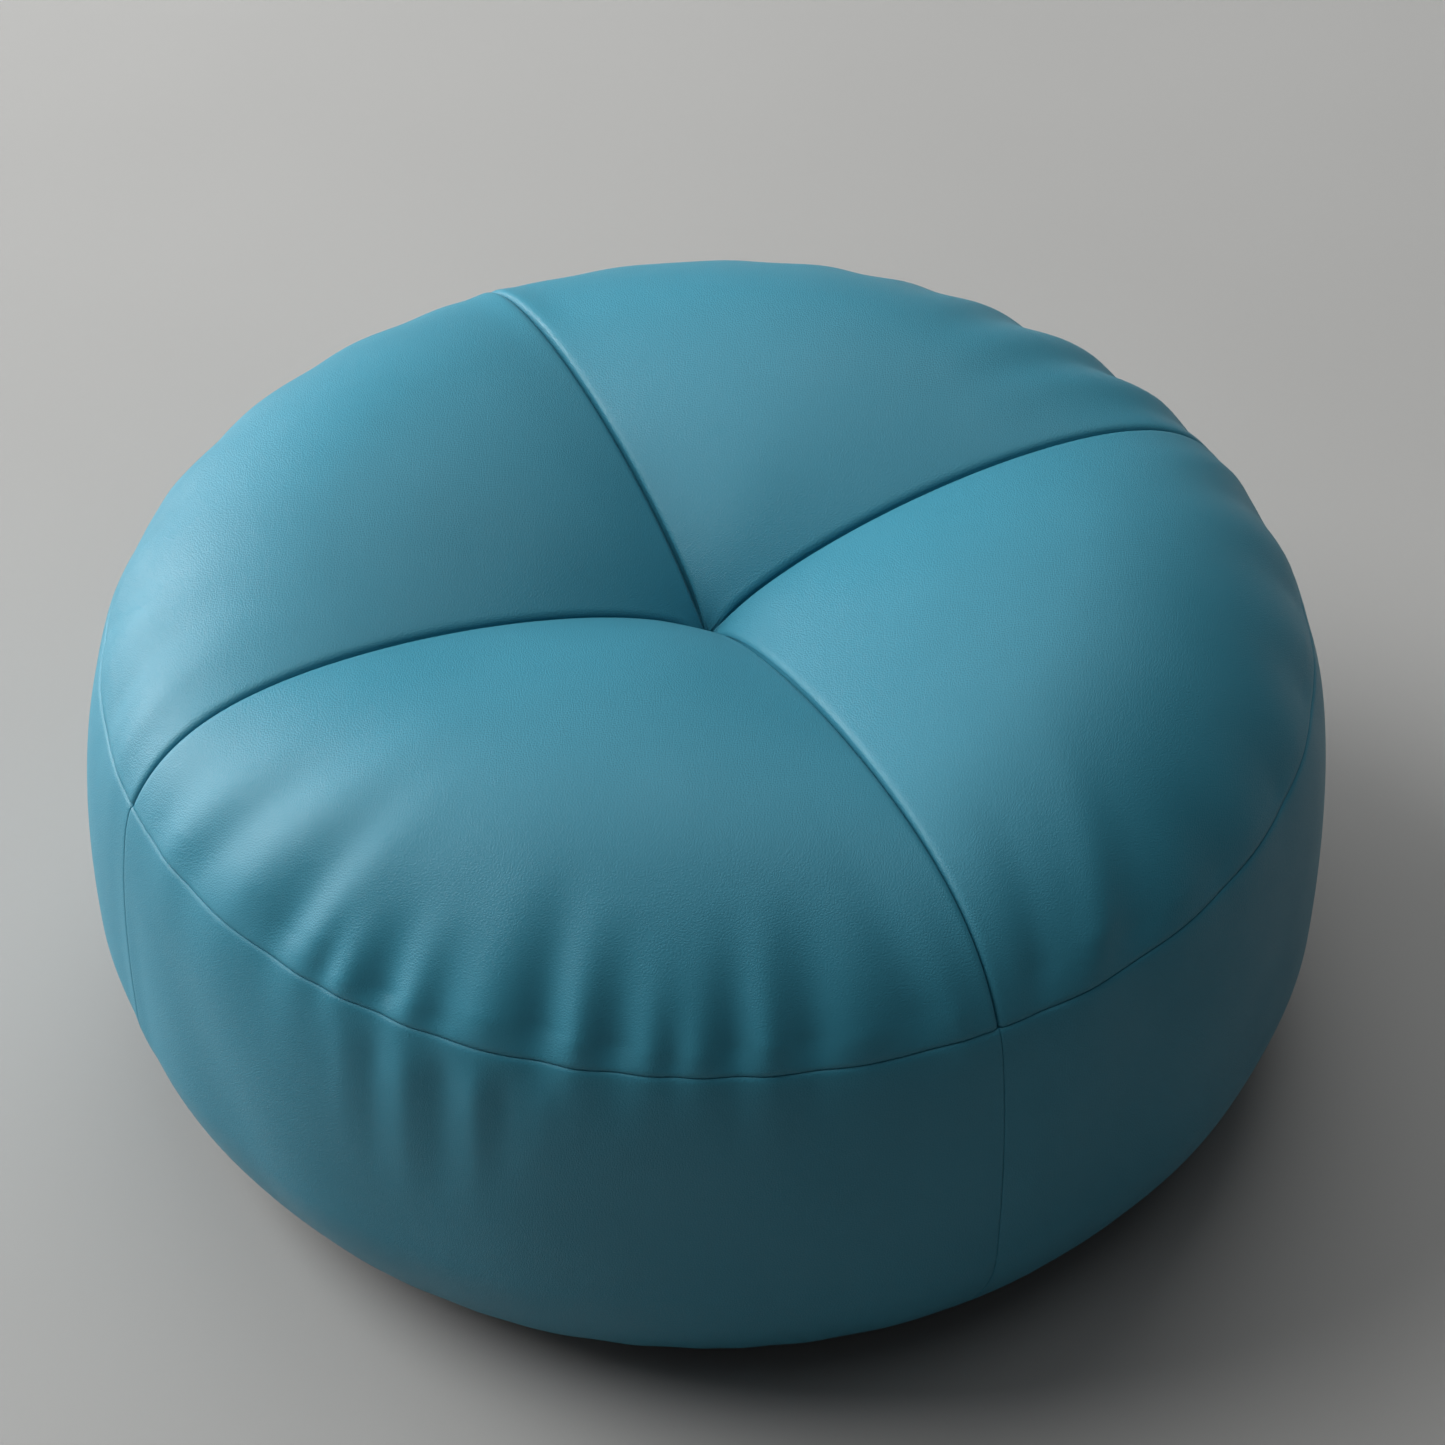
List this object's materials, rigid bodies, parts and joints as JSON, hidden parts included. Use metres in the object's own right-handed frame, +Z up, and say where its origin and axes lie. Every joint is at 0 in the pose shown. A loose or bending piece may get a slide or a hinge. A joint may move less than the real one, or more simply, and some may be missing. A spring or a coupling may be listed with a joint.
{
  "type": "floor cushion",
  "caption": "Round, plump leatherette floor cushion with petal top panels drawn down to a central tuft, a side band, a grip-fabric base and a zip round the back of the base seam.",
  "frame": {"origin": "middle of the flat resting face, on the floor", "axes": "+Z up through the tuft; the zip faces +Y, and the radial seams of the top lie in the planes X = 0 and Y = 0"},
  "size_m": [0.5, 0.5, 0.24],
  "materials": {
    "cover_leather": "satin smooth leatherette, teal blue",
    "base_fabric": "woven grip fabric with small rubber dots, charcoal blue",
    "wadding": "white polyester fibre",
    "foam": null,
    "tie_cord": "braided nylon cord",
    "anchor_plastic": "moulded nylon disc",
    "zip_tape": "woven polyester tape, dark teal",
    "zip_coil": "nylon coil, dark teal",
    "zip_metal": "plated die-cast metal, satin"
  },
  "bodies": {
    "cushion": {"top_panel_1": "cover_leather", "top_panel_2": "cover_leather", "top_panel_3": "cover_leather", "top_panel_4": "cover_leather", "side_panel_1": "cover_leather", "side_panel_2": "cover_leather", "side_panel_3": "cover_leather", "side_panel_4": "cover_leather", "base_panel": "base_fabric", "wadding": "wadding", "foam_core": "foam", "tuft_tie": "tie_cord", "tie_anchor": "anchor_plastic", "zip_tape_upper": "zip_tape", "zip_tape_lower": "zip_tape", "zip_coil_upper": "zip_coil", "zip_coil_lower": "zip_coil", "zip_stop_closed": "zip_metal", "zip_stop_open": "zip_metal"},
    "slider": {"zip_slider": "zip_metal"},
    "pull": {"zip_pull": "zip_metal"}
  },
  "joints": [
    {"name": "zip_run", "type": "hinge", "parent": "cushion", "child": "slider", "pos_m": [0, 0, 0], "axis": [0, 0, 1], "range_deg": [0, 142.8]},
    {"name": "pull_flip", "type": "hinge", "parent": "slider", "child": "pull", "pos_m": [0.21709, 0.07306, 0.01421], "axis": [-0.637, -0.2144, -0.7405], "range_deg": [0, 180]}
  ]
}
